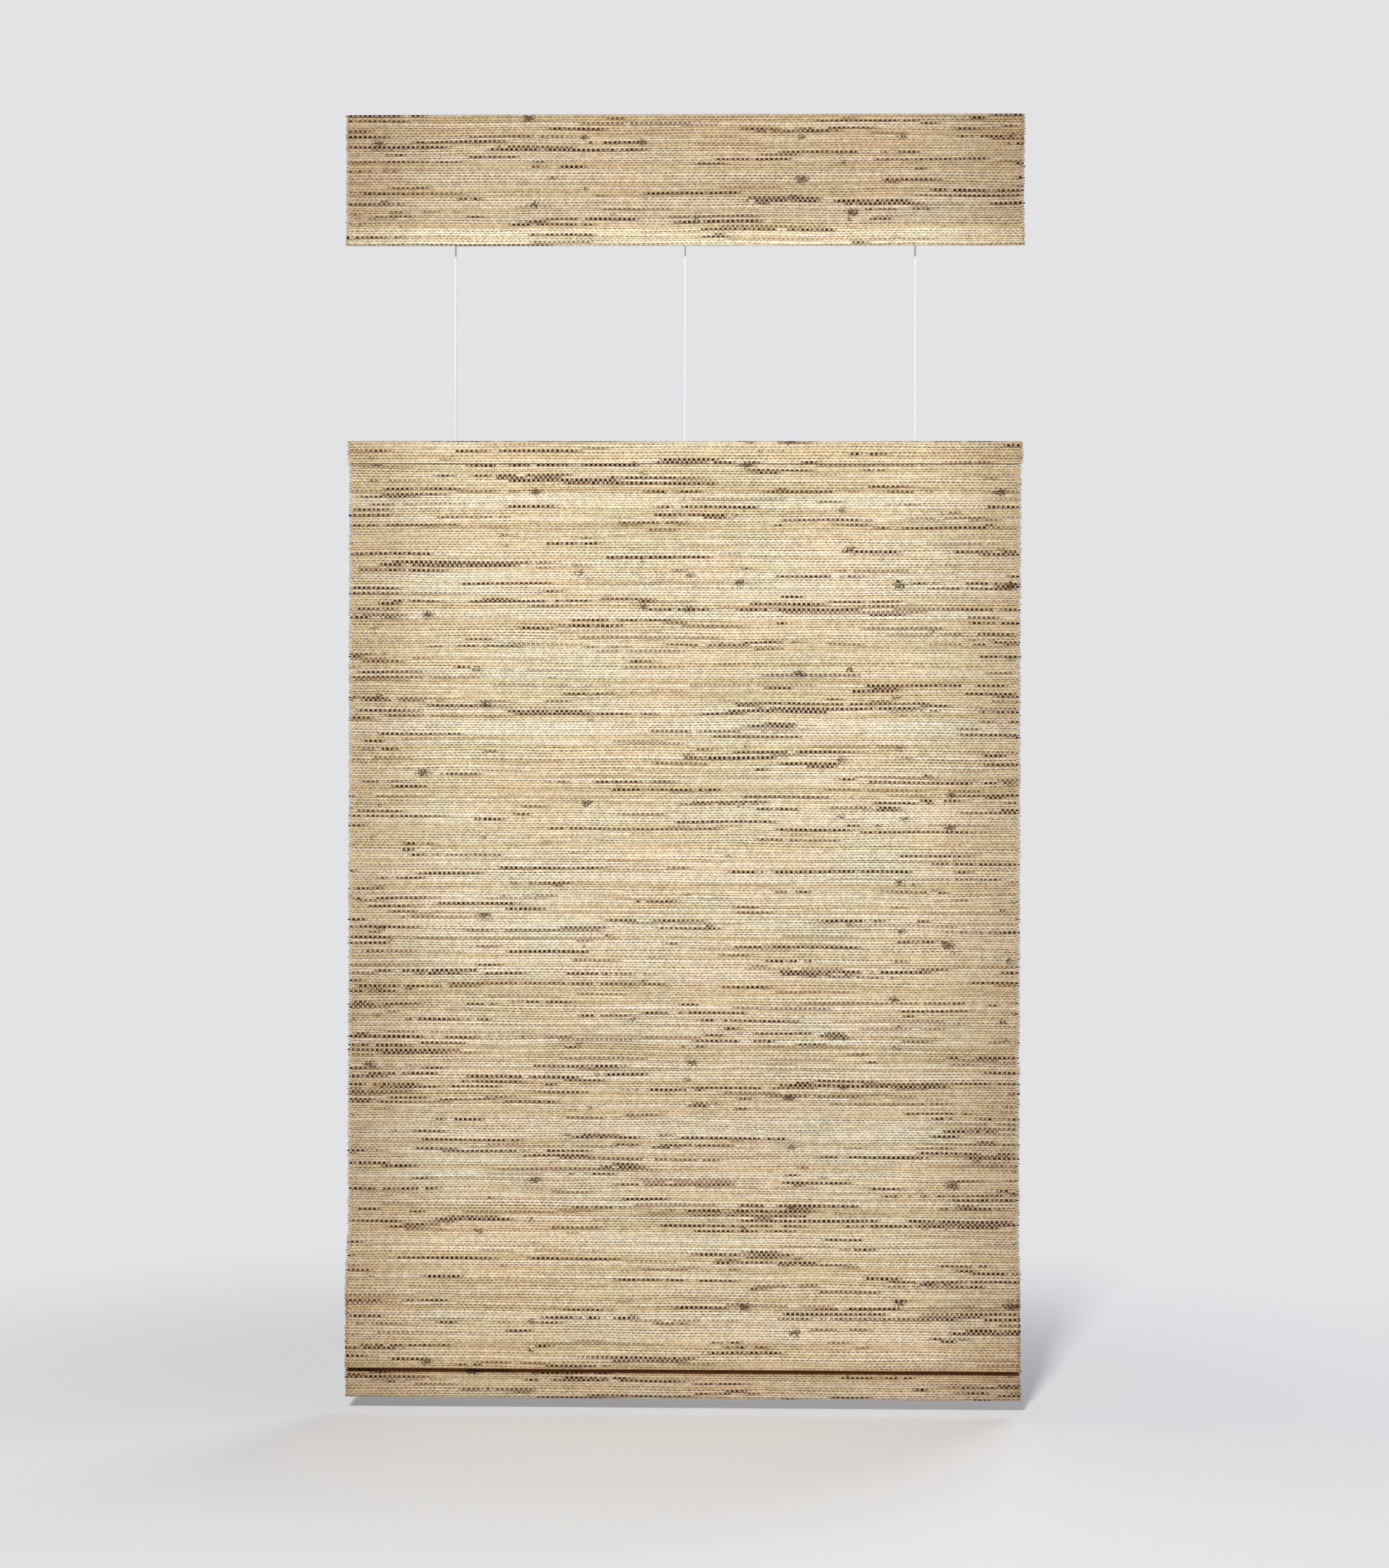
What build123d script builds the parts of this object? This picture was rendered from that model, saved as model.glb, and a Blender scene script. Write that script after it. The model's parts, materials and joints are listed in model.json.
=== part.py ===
from build123d import *
import os
from math import acos, copysign, cos, sin, tan

# Top-down bottom-up woven wood shade, in millimetres.
# X runs along the width, Y from the room side (-) to the glass side (+), Z is up.
# The origin is the middle of the mounting plane, where the brackets meet what they are screwed to.

# Whole shade
shade_width = 804.0
shade_drop = 1524.0
valance_height = 156.5
top_rail_drop = 384.0
lift_inset = 128.0
lift_spacing = shade_width / 2 - lift_inset

# Woven cloth: a flat core with rounded reeds drawn as ridges on both faces
cloth_core = 1.0
reed_height = 0.45
reed_pitch = 5.6
cloth_clearance = 0.2
smallest_run = 0.001
cloth_thickness = cloth_core + 2 * reed_height

# Headrail channel
channel_end_gap = 4.0
channel_length = shade_width - 2 * channel_end_gap
channel_depth = 57.0
channel_height = 40.0
channel_wall = 1.5
channel_lip = 7.0

# Mounting brackets
bracket_thickness = 1.2
bracket_width = 32.0
bracket_inset = 122.0
bracket_spacing = shade_width - 2 * bracket_inset
bracket_gap = 0.3
bracket_hole_radius = 2.3
bracket_hole_spacing = 22.0
bracket_foot_reach = 4.5

# End caps of the headrail
cap_thickness = 2.0
cap_plug_depth = 8.0
cap_plug_wall = 1.6
cap_clearance = 0.2
cap_corner = 3.0

# Lift shafts and cord spools
shaft_spacing = 21.0
shaft_flats = 6.0
shaft_overhang = 30.0
shaft_fit = 0.05
cord_radius = 0.7
barrel_radius = 7.5
barrel_length = 30.0
flange_radius = 9.8
flange_thickness = 1.2
hub_radius = 5.0
hub_length = 2.8
running_fit = 0.06
end_play = 0.3
cord_gap = 0.3
bottom_winding_length = 2.5

# Spool cradles and cord guides
cradle_floor = 1.8
cradle_plate = 2.0
cradle_plate_rise = 24.0
cradle_foot = 3.5
cradle_clearance = 0.4
snap_share = 0.88
cord_hole_radius = 1.1
guide_neck_width = 4.4
guide_neck_length = 10.4
guide_rim = 1.4
guide_flange = 1.2
guide_fit = 0.1

# Spring motors
motor_offset_share = 0.5
motor_length = 40.0
motor_wall = 1.6
motor_plate = 2.0
motor_rise = 32.0
drum_radius = 5.8
boss_radius = 4.6
boss_bore_radius = 3.9
boss_length = 3.0
spring_clearance = 0.35
spring_sheet = 0.4
stored_coil = 2.6
driven_coil = 1.2

# Rail bars, the same section for the top and the bottom rail
bar_depth = 16.0
top_bar_height = 23.0
bottom_bar_height = 35.0
bar_corner = 5.0
bar_inset = 4.5
rail_cap_thickness = 1.6
bead_radius = 1.9
bead_length = 4.0
bead_pocket_radius = 2.2
bead_bore_fit = 0.05
bar_floor = 5.0

# Covers of the two rails
top_cover_front = 28.0
top_cover_back = 22.0
bottom_cover_front = 42.0
bottom_cover_back = 36.0
cover_width_margin = 0.5
cover_slot_length = 9.0

# Panel with its hanging folds
panel_margin = 1.5
panel_lap = 5.0
sheet_lean = 6.0
layer_spacing = 3.8
fold_rise = 38.0
inner_fold_rise = 12.0
crown_rise = 148.0
crown_gap = 32.0
flare_gap = 1.0
flare_height = 50.0
flare_bend = 24.0
lean_height = 17.0
lean_bend = 5.0
bottom_lap_rise = 6.0

# Cord rings sewn behind the panel
ring_radius = 7.0
ring_hole_radius = 5.0
ring_height = 2.0
ring_pitch = 168.0
ring_rise = 6.0
ring_top_gap = 50.0

# Valance and its fastening tape
valance_top_gap = 1.0
hem_height = 22.0
hem_flare = 3.2
hem_bend = 30.0
hem_gap = 3.4
hem_turn = 1.4
tape_height = 19.0
tape_thickness = 1.2
tape_drop = 8.0
tape_margin = 6.0

# Heights and depths that follow from the sizes above
channel_top = -(bracket_thickness + bracket_gap)
channel_bottom = channel_top - channel_height
floor_top = channel_bottom + channel_wall
channel_half = channel_depth / 2
inner_half = channel_half - channel_wall
lip_bottom = channel_top - channel_wall
shaft_height = (floor_top + lip_bottom) / 2
front_axis = -shaft_spacing / 2
rear_axis = shaft_spacing / 2
cord_offset = shaft_spacing / 2 - barrel_radius - cord_radius
top_cord_y = -cord_offset
bottom_cord_y = cord_offset
bar_half = bar_depth / 2
panel_y = -(bar_half + cloth_thickness / 2 + cloth_clearance / 2)
cord_places = (-lift_spacing, 0.0, lift_spacing)
place_names = ("left", "centre", "right")
side_names = ("left", "right")
side_signs = (-1, 1)

top_bar_top = -(top_rail_drop + cloth_thickness + cloth_clearance)
top_bar_bottom = top_bar_top - top_bar_height
bottom_bar_bottom = -(shade_drop - cloth_thickness - cloth_clearance)
bottom_bar_top = bottom_bar_bottom + bottom_bar_height

drop_top = -(top_rail_drop + top_cover_front)
crown_height = crown_rise - shade_drop
flare_low = crown_height + flare_gap
flare_top = flare_low + flare_height


def block(x, y, z):
    """Box between a low and a high limit on each axis."""
    limits = (x, y, z)
    sizes = [high - low for low, high in limits]
    middle = [(high + low) / 2 for low, high in limits]
    return Pos(*middle) * Box(*sizes)


def upright(x, y, z, radius):
    """Round rod along Z between two heights."""
    return Pos(x, y, (z[0] + z[1]) / 2) * Cylinder(radius, z[1] - z[0])


def lying(x, y, z, radius):
    """Round rod along X between two stations."""
    return Pos((x[0] + x[1]) / 2, y, z) * Rot(0, 90, 0) * Cylinder(radius, x[1] - x[0])


def hexagon(x, y, z, flats):
    """Hexagon rod along X between two stations."""
    section = Plane.YZ * Pos(y, z) * RegularPolygon(flats / 2, 6, major_radius=False)
    return Pos(x[0], 0, 0) * extrude(section, amount=x[1] - x[0])


def along_x(edges, length):
    """Solid of a closed outline in the YZ plane, drawn out to both sides of the middle."""
    face = Face(Wire.combine(edges)[0])
    return extrude(face, amount=length / 2, dir=(1, 0, 0), both=True)


def in_plane(points):
    """Points of the YZ plane, held as complex numbers, as points in space."""
    return [(0, point.real, point.imag) for point in points]


def route_steps(route):
    """Straight runs and round turns of a route given as corners (y, z, turn radius)."""
    corners = [complex(y, z) for y, z, radius in route]
    steps = []
    start = corners[0]
    for before, corner, after, (y, z, radius) in zip(corners, corners[1:], corners[2:], route[1:]):
        heading = (corner - before) / abs(corner - before)
        leaving = (after - corner) / abs(after - corner)
        bend = leaving / heading
        angle = acos(max(-1.0, min(1.0, bend.real)))
        turn = copysign(1.0, bend.imag)
        setback = radius * tan(angle / 2)
        steps.append(("run", start, corner - heading * setback, heading))
        steps.append(("turn", corner - heading * setback, heading, radius, angle, turn))
        start = corner + leaving * setback
    heading = (corners[-1] - start) / abs(corners[-1] - start)
    steps.append(("run", start, corners[-1], heading))
    return steps


def woven_side(route, side):
    """Outline edges and end points of one face of a woven sheet; side is +1 left, -1 right."""
    valley = side * cloth_core / 2
    crest = side * (cloth_core / 2 + reed_height)
    edges = []
    ends = []
    for step in route_steps(route):
        if step[0] == "run":
            start, end, heading = step[1:]
            length = abs(end - start)
            across = heading * 1j
            if length < smallest_run:
                continue
            reeds = round(length / reed_pitch)
            points = [start + across * valley]
            for reed in range(reeds):
                points.append(start + heading * length * (reed + 0.5) / reeds + across * crest)
                points.append(start + heading * length * (reed + 1) / reeds + across * valley)
            if reeds == 0:
                points.append(end + across * valley)
            edges.extend(Polyline(*in_plane(points)).edges())
        else:
            start, heading, radius, angle, turn = step[1:]
            centre = start + heading * 1j * turn * radius
            arm = start + heading * 1j * valley - centre
            half_way = complex(cos(angle / 2), turn * sin(angle / 2))
            points = [centre + arm, centre + arm * half_way, centre + arm * half_way * half_way]
            edges.append(ThreePointArc(*in_plane(points)))
        ends.extend((points[0], points[-1]))
    return edges, ends[0], ends[-1]


def woven_sheet(route, width):
    """Reeded sheet of one width that follows a route through the YZ plane."""
    left, left_start, left_end = woven_side(route, 1)
    right, right_start, right_end = woven_side(route, -1)
    closing = [Line(*in_plane((left_start, right_start))), Line(*in_plane((left_end, right_end)))]
    return along_x(left + right + closing, width)


def outline(points):
    """Closed edges of a polygon in the YZ plane."""
    return Polyline(*[(0, y, z) for y, z in points], close=True).edges()


def headrail_channel():
    """Channel open at the top, with lips turned in and a slot for each cord guide."""
    lip_edge = inner_half - channel_lip
    half = [(channel_half, channel_bottom), (channel_half, channel_top), (lip_edge, channel_top),
            (lip_edge, lip_bottom), (inner_half, lip_bottom), (inner_half, floor_top)]
    mirror = [(-y, z) for y, z in reversed(half)]
    channel = along_x(outline(half + mirror), channel_length)
    for x in cord_places:
        channel -= guide_neck(x, guide_fit, (channel_bottom, floor_top))
    return channel


def guide_neck(x, growth, z):
    """Upright rod of oval section that stands in the headrail floor at one cord place."""
    section = Pos(x, 0, z[0]) * SlotOverall(guide_neck_length + 2 * growth,
                                            guide_neck_width + 2 * growth, rotation=90)
    return extrude(section, amount=z[1] - z[0])


def cord_guide(x):
    """Flanged bush with a hole for the top cord and one for the bottom cord."""
    guide = guide_neck(x, 0, (channel_bottom, floor_top))
    guide += guide_neck(x, guide_rim, (channel_bottom - guide_flange, channel_bottom))
    for y in (top_cord_y, bottom_cord_y):
        guide -= upright(x, y, (channel_bottom - guide_flange, floor_top), cord_hole_radius)
    return guide


def end_cap(side):
    """Plate over one channel end, with a hollow plug that fits inside."""
    outer = side * (channel_length / 2 + cap_thickness)
    joint = side * channel_length / 2
    inner = joint - side * cap_plug_depth
    plate = block(sorted((joint, outer)), (-channel_half, channel_half), (channel_bottom, channel_top))
    plate = fillet(plate.edges().filter_by(Axis.X), cap_corner)
    plug_half = inner_half - cap_clearance
    plug_z = (floor_top + cap_clearance, lip_bottom - cap_clearance)
    plug = block(sorted((joint, inner)), (-plug_half, plug_half), plug_z)
    hollow_half = plug_half - cap_plug_wall
    hollow_z = (plug_z[0] + cap_plug_wall, plug_z[1] - cap_plug_wall)
    plug -= block(sorted((joint, inner)), (-hollow_half, hollow_half), hollow_z)
    return plate + plug


def mounting_bracket(x):
    """Bent plate screwed up through two holes, whose feet carry the channel lips."""
    leg = inner_half - channel_lip - bracket_gap
    foot = leg + bracket_foot_reach
    foot_bottom = lip_bottom - bracket_thickness
    half = [(leg, 0), (leg, lip_bottom), (foot, lip_bottom), (foot, foot_bottom),
            (leg - bracket_thickness, foot_bottom), (leg - bracket_thickness, -bracket_thickness)]
    mirror = [(-y, z) for y, z in reversed(half)]
    bracket = Pos(x, 0, 0) * along_x(outline(half + mirror), bracket_width)
    for side in side_signs:
        bracket -= upright(x, side * bracket_hole_spacing / 2, (-bracket_thickness, 0),
                           bracket_hole_radius)
    return bracket


def bearing_notch(x, y, radius):
    """Cut for a round hub with a narrower way in from above."""
    notch = lying(x, y, shaft_height, radius)
    mouth = radius * snap_share
    return notch + block(x, (y - mouth, y + mouth), (shaft_height, lip_bottom))


def spool_cradle(x):
    """Tray with two plates that carry the hubs of one front and one rear spool."""
    plate_near = barrel_length / 2 + flange_thickness + end_play
    plate_far = plate_near + cradle_plate
    half_length = plate_far + cradle_foot
    half_depth = inner_half - cradle_clearance
    floor_z = (floor_top, floor_top + cradle_floor)
    plate_z = (floor_top, floor_top + cradle_plate_rise)
    cradle = block((x - half_length, x + half_length), (-half_depth, half_depth), floor_z)
    for side in side_signs:
        stations = sorted((x + side * plate_near, x + side * plate_far))
        cradle += block(stations, (-half_depth, half_depth), plate_z)
        for y in (front_axis, rear_axis):
            cradle -= bearing_notch(stations, y, hub_radius + running_fit)
    for y in (top_cord_y, bottom_cord_y):
        cradle -= upright(x, y, floor_z, cord_hole_radius)
    return cradle


def cord_spool(x, y):
    """Barrel with two flanges and two hubs, driven by a hexagon bore."""
    flange_end = barrel_length / 2 + flange_thickness
    hub_end = flange_end + hub_length
    spool = lying((x - hub_end, x + hub_end), y, shaft_height, hub_radius)
    spool += lying((x - barrel_length / 2, x + barrel_length / 2), y, shaft_height, barrel_radius)
    for side in side_signs:
        stations = sorted((x + side * barrel_length / 2, x + side * flange_end))
        spool += lying(stations, y, shaft_height, flange_radius)
    return spool - hexagon((x - hub_end, x + hub_end), y, shaft_height, shaft_flats + 2 * shaft_fit)


def wound_cord(y, length):
    """Cord wound in one layer on each of the three spools of a shaft, beside the cord's drop."""
    coils = []
    for x in cord_places:
        stations = (x - cord_radius - cord_gap - length, x - cord_radius - cord_gap)
        coil = lying(stations, y, shaft_height, barrel_radius + 2 * cord_radius)
        coils.append(coil - lying(stations, y, shaft_height, barrel_radius + shaft_fit))
    return Compound(coils)


def lift_shaft(y):
    """Hexagon rod through all three spools and one spring motor."""
    reach = lift_spacing + barrel_length / 2 + shaft_overhang
    return hexagon((-reach, reach), y, shaft_height, shaft_flats)


def motor_stations(x):
    """Inner faces of the two motor end plates."""
    return x - motor_length / 2 + motor_plate, x + motor_length / 2 - motor_plate


def motor_plate_solid(stations, inner_side, drive_y, store_y):
    """End plate with a bearing for the drive drum and a hollow boss for the storage drum."""
    half_depth = inner_half - cradle_clearance
    plate = block(stations, (-half_depth, half_depth), (floor_top, floor_top + motor_rise))
    inner = stations[1] if inner_side > 0 else stations[0]
    boss = sorted((inner, inner + inner_side * boss_length))
    through = (min(stations[0], boss[0]), max(stations[1], boss[1]))
    plate += lying(boss, store_y, shaft_height, boss_radius)
    plate -= lying(through, store_y, shaft_height, boss_bore_radius)
    return plate - lying(stations, drive_y, shaft_height, hub_radius + running_fit)


def motor_case(x, drive_y, store_y):
    """Tray of a spring motor: floor, two long walls and the left end plate."""
    low, high = motor_stations(x)
    half_depth = inner_half - cradle_clearance
    case = motor_plate_solid((low - motor_plate, low), 1, drive_y, store_y)
    case += block((low, high), (-half_depth, half_depth), (floor_top, floor_top + motor_wall))
    for side in side_signs:
        walls = sorted((side * half_depth, side * (half_depth - motor_wall)))
        case += block((low, high), walls, (floor_top, floor_top + motor_rise))
    return case


def motor_cover(x, drive_y, store_y):
    """Right end plate that closes a spring motor."""
    low, high = motor_stations(x)
    return motor_plate_solid((high, high + motor_plate), -1, drive_y, store_y)


def drum_body(x, y):
    """Barrel and flanges shared by the two drums of a motor, between the end plates."""
    low, high = motor_stations(x)
    ends = (low + end_play, high - end_play)
    drum = lying(ends, y, shaft_height, drum_radius)
    for flange in ((ends[0], ends[0] + flange_thickness), (ends[1] - flange_thickness, ends[1])):
        drum += lying(flange, y, shaft_height, flange_radius)
    return drum


def drive_drum(x, y):
    """Drum keyed to the shaft; its hubs turn in the motor end plates."""
    hubs = (x - motor_length / 2, x + motor_length / 2)
    drum = drum_body(x, y) + lying(hubs, y, shaft_height, hub_radius)
    return drum - hexagon(hubs, y, shaft_height, shaft_flats + 2 * shaft_fit)


def storage_drum(x, y):
    """Loose drum that turns on the two bosses, clear of the shaft that passes through it."""
    return drum_body(x, y) - lying(motor_stations(x), y, shaft_height, boss_radius + running_fit)


def motor_spring(x, drive_y, store_y):
    """Spring strip: a full coil on the storage drum, a thin one on the drive drum, and the run across."""
    low, high = motor_stations(x)
    play = end_play + flange_thickness + spring_clearance
    stations = (low + play, high - play)
    inner = drum_radius + spring_clearance
    coils = []
    reaches = []
    for y, build in ((store_y, stored_coil), (drive_y, driven_coil)):
        coil = lying(stations, y, shaft_height, inner + build)
        coils.append(coil - lying(stations, y, shaft_height, inner))
        reaches.append(inner + build - spring_sheet / 2)
    toward = copysign(1.0, drive_y - store_y)
    lean = acos((reaches[0] + reaches[1]) / shaft_spacing)
    normal = complex(toward * cos(lean), sin(lean))
    across = normal * spring_sheet / 2
    leave = complex(store_y, shaft_height) + normal * reaches[0]
    meet = complex(drive_y, shaft_height) - normal * reaches[1]
    run = [leave + across, leave - across, meet - across, meet + across]
    strip = along_x(outline([(point.real, point.imag) for point in run]), stations[1] - stations[0])
    return coils[0] + coils[1] + Pos((stations[0] + stations[1]) / 2, 0, 0) * strip


def rail_bar(z, rounded_up):
    """Wooden bar of a rail, rounded where the cover turns round it."""
    length = shade_width - 2 * bar_inset - 2 * rail_cap_thickness
    bar = block((-length / 2, length / 2), (-bar_half, bar_half), z)
    long_edges = bar.edges().filter_by(Axis.X).sort_by(Axis.Z)
    turned = long_edges[-2:] if rounded_up else long_edges[:2]
    return fillet(turned, bar_corner)


def top_rail_bar():
    """Top bar: pockets below for the beads of the top cords, through holes for the bottom cords."""
    bar = rail_bar((top_bar_bottom, top_bar_top), True)
    pocket_z = (top_bar_bottom, top_bar_top - bar_floor)
    for x in cord_places:
        bar -= upright(x, top_cord_y, (top_bar_bottom, top_bar_top), cord_hole_radius)
        bar -= upright(x, top_cord_y, pocket_z, bead_pocket_radius)
        bar -= upright(x, bottom_cord_y, (top_bar_bottom, top_bar_top), cord_hole_radius)
    return bar


def bottom_rail_bar():
    """Bottom bar: pockets below for the beads of the bottom cords."""
    bar = rail_bar((bottom_bar_bottom, bottom_bar_top), False)
    for x in cord_places:
        bar -= upright(x, bottom_cord_y, (bottom_bar_bottom, bottom_bar_top), cord_hole_radius)
        bar -= upright(x, bottom_cord_y, (bottom_bar_bottom, bottom_bar_top - bar_floor),
                       bead_pocket_radius)
    return bar


def rail_cap(side, z, rounded_up):
    """Plastic plate on one end of a rail bar, with the section of the bar."""
    outer = side * (shade_width / 2 - bar_inset)
    cap = block(sorted((outer, outer - side * rail_cap_thickness)), (-bar_half, bar_half), z)
    edges = cap.edges().filter_by(Axis.X).sort_by(Axis.Z)
    turned = edges[-2:] if rounded_up else edges[:2]
    return fillet(turned, bar_corner)


def crimp_beads(y, pocket_top):
    """Three crimped beads, one on each cord end, hard against the pocket tops."""
    beads = []
    for x in cord_places:
        bead = upright(x, y, (pocket_top - bead_length, pocket_top), bead_radius)
        beads.append(bead - upright(x, y, (pocket_top - bead_length, pocket_top),
                                    cord_radius + bead_bore_fit))
    return Compound(beads)


def cover_front():
    """Depth of the middle of a cover's front face, clear of the panel that it laps."""
    return panel_y - cloth_thickness - cloth_clearance


def cover_back():
    """Depth of the middle of a cover's back face."""
    return bar_half + cloth_thickness / 2 + cloth_clearance


def cover_route(fold, front_end, back_end):
    """Route of a rail cover from its front edge round the rounded side of the bar to its back edge."""
    turn = bar_corner + cloth_clearance + cloth_thickness / 2
    return [(cover_front(), front_end, 0), (cover_front(), fold, turn),
            (cover_back(), fold, turn), (cover_back(), back_end, 0)]


def top_rail_cover():
    """Woven strip over the top rail, with a slot where each pair of cords goes in."""
    fold = -(top_rail_drop + cloth_thickness / 2)
    route = cover_route(fold, -(top_rail_drop + top_cover_front), -(top_rail_drop + top_cover_back))
    cover = woven_sheet(route, shade_width + 2 * cover_width_margin)
    for x in cord_places:
        slot = Pos(x, 0, top_bar_top) * SlotOverall(cover_slot_length, 2 * cord_hole_radius, rotation=90)
        cover -= extrude(slot, amount=cloth_thickness + 2 * cloth_clearance)
    return cover


def bottom_rail_cover():
    """Woven strip under the bottom rail."""
    fold = -(shade_drop - cloth_thickness / 2)
    route = cover_route(fold, bottom_cover_front - shade_drop, bottom_cover_back - shade_drop)
    return woven_sheet(route, shade_width)


def shade_panel():
    """Whole woven sheet: the drop, the flare, two hanging folds and the lap on the bottom bar."""
    turn = layer_spacing / 2
    rows = [panel_y - layer_spacing * layer for layer in range(5)]
    front_fold = fold_rise + cloth_core / 2 - shade_drop
    inner_fold = front_fold + inner_fold_rise
    second_crown = crown_height - crown_gap
    lean_top = crown_height - 2 * turn - lean_bend
    lean_low = lean_top - lean_height
    route = [(rows[0], -(top_rail_drop + panel_lap), 0), (rows[0], drop_top, flare_bend),
             (rows[0] + sheet_lean, flare_top, flare_bend), (rows[4], flare_low, flare_bend),
             (rows[4], front_fold, turn), (rows[3], front_fold, turn),
             (rows[3], lean_low, lean_bend), (rows[1], lean_top, lean_bend),
             (rows[1], crown_height, turn), (rows[0], crown_height, turn),
             (rows[0], lean_top, lean_bend), (rows[2], lean_low, lean_bend),
             (rows[2], inner_fold, turn), (rows[1], inner_fold, turn),
             (rows[1], second_crown, turn), (rows[0], second_crown, turn),
             (rows[0], bottom_lap_rise - shade_drop, 0)]
    return woven_sheet(route, shade_width - 2 * panel_margin)


def ring_places():
    """Depth and height of each ring row: up the drop from the flare, then the two crowns of the stack."""
    touch = panel_y + cloth_thickness / 2 + ring_radius
    places = []
    height = flare_top + ring_rise
    while height < drop_top - ring_top_gap:
        places.append((touch + sheet_lean * (drop_top - height) / (drop_top - flare_top), height))
        height += ring_pitch
    crown_ring = crown_height - layer_spacing
    return places + [(touch, crown_ring), (touch, crown_ring - crown_gap)]


def panel_rings():
    """Plastic rings sewn by one side to the back of the panel; the bottom cords run through them."""
    ring = Cylinder(ring_radius, ring_height) - Cylinder(ring_hole_radius, ring_height)
    return Compound([Pos(x, y, z) * ring for y, z in ring_places() for x in cord_places])


def valance():
    """Woven strip that hangs from the tape, turned up into a hem that leans a little forward."""
    y = -(channel_half + 2 * tape_thickness + cloth_thickness / 2)
    low = cloth_core / 2 - valance_height
    route = [(y, -valance_top_gap, 0), (y, hem_height - valance_height, hem_bend),
             (y - hem_flare, low, hem_turn), (y - hem_flare + hem_gap, low, hem_turn),
             (y + hem_gap, hem_height - valance_height, 0)]
    return woven_sheet(route, shade_width)


def fastening_tape(layer):
    """One layer of the tape pair between the channel front and the valance."""
    front = -(channel_half + (layer + 1) * tape_thickness)
    half = channel_length / 2 - tape_margin
    top = channel_top - tape_drop
    return block((-half, half), (front, front + tape_thickness), (top - tape_height, top))


parts = {"headrail_channel": headrail_channel()}
for side_name, side in zip(side_names, side_signs):
    parts[side_name + "_end_cap"] = end_cap(side)
    parts[side_name + "_mounting_bracket"] = mounting_bracket(side * bracket_spacing / 2)
    parts["top_rail_" + side_name + "_cap"] = rail_cap(side, (top_bar_bottom, top_bar_top), True)
    parts["bottom_rail_" + side_name + "_cap"] = rail_cap(side, (bottom_bar_bottom, bottom_bar_top), False)

top_pocket_top = top_bar_top - bar_floor
bottom_pocket_top = bottom_bar_top - bar_floor
for place, x in zip(place_names, cord_places):
    parts["spool_cradle_" + place] = spool_cradle(x)
    parts["cord_guide_" + place] = cord_guide(x)
    parts["top_spool_" + place] = cord_spool(x, front_axis)
    parts["bottom_spool_" + place] = cord_spool(x, rear_axis)
    top_run = (top_pocket_top - bead_length, shaft_height)
    bottom_run = (bottom_pocket_top - bead_length, shaft_height)
    parts["top_lift_cord_" + place] = upright(x, top_cord_y, top_run, cord_radius)
    parts["bottom_lift_cord_" + place] = upright(x, bottom_cord_y, bottom_run, cord_radius)

motor_x = motor_offset_share * lift_spacing
lifts = (("top", front_axis, rear_axis, -motor_x), ("bottom", rear_axis, front_axis, motor_x))
for lift, drive_y, store_y, x in lifts:
    parts[lift + "_lift_shaft"] = lift_shaft(drive_y)
    parts[lift + "_motor_case"] = motor_case(x, drive_y, store_y)
    parts[lift + "_motor_cover"] = motor_cover(x, drive_y, store_y)
    parts[lift + "_drive_drum"] = drive_drum(x, drive_y)
    parts[lift + "_storage_drum"] = storage_drum(x, store_y)
    parts[lift + "_motor_spring"] = motor_spring(x, drive_y, store_y)

top_winding_length = barrel_length / 2 - cord_radius - 2 * cord_gap
parts["top_wound_cord"] = wound_cord(front_axis, top_winding_length)
parts["bottom_wound_cord"] = wound_cord(rear_axis, bottom_winding_length)
parts["top_rail_bar"] = top_rail_bar()
parts["bottom_rail_bar"] = bottom_rail_bar()
parts["top_rail_cover"] = top_rail_cover()
parts["bottom_rail_cover"] = bottom_rail_cover()
parts["top_cord_beads"] = crimp_beads(top_cord_y, top_pocket_top)
parts["bottom_cord_beads"] = crimp_beads(bottom_cord_y, bottom_pocket_top)
parts["shade_panel"] = shade_panel()
parts["panel_rings"] = panel_rings()
parts["valance"] = valance()
parts["valance_hook_tape"] = fastening_tape(0)
parts["valance_loop_tape"] = fastening_tape(1)

os.makedirs("parts", exist_ok=True)
for name, shape in parts.items():
    export_step(shape, "parts/" + name + ".step")
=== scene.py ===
import json
from functools import partial
from math import radians
import bpy
import numpy as np
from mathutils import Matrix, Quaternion, Vector


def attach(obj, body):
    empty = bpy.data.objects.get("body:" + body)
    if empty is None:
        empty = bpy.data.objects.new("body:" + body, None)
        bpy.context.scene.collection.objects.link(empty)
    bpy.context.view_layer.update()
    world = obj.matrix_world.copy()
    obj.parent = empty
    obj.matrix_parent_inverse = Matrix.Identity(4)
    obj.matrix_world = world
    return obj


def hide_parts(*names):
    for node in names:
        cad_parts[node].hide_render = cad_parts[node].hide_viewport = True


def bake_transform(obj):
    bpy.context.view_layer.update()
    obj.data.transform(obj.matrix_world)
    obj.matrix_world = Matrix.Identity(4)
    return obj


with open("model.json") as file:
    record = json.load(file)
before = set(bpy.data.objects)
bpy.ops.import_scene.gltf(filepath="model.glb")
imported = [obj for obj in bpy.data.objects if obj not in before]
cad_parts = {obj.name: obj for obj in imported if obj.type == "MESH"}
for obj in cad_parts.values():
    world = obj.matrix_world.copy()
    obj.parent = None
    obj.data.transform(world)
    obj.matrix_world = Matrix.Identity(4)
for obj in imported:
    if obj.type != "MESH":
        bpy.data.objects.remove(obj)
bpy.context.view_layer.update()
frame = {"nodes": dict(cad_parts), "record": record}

MM = 0.001

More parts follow.
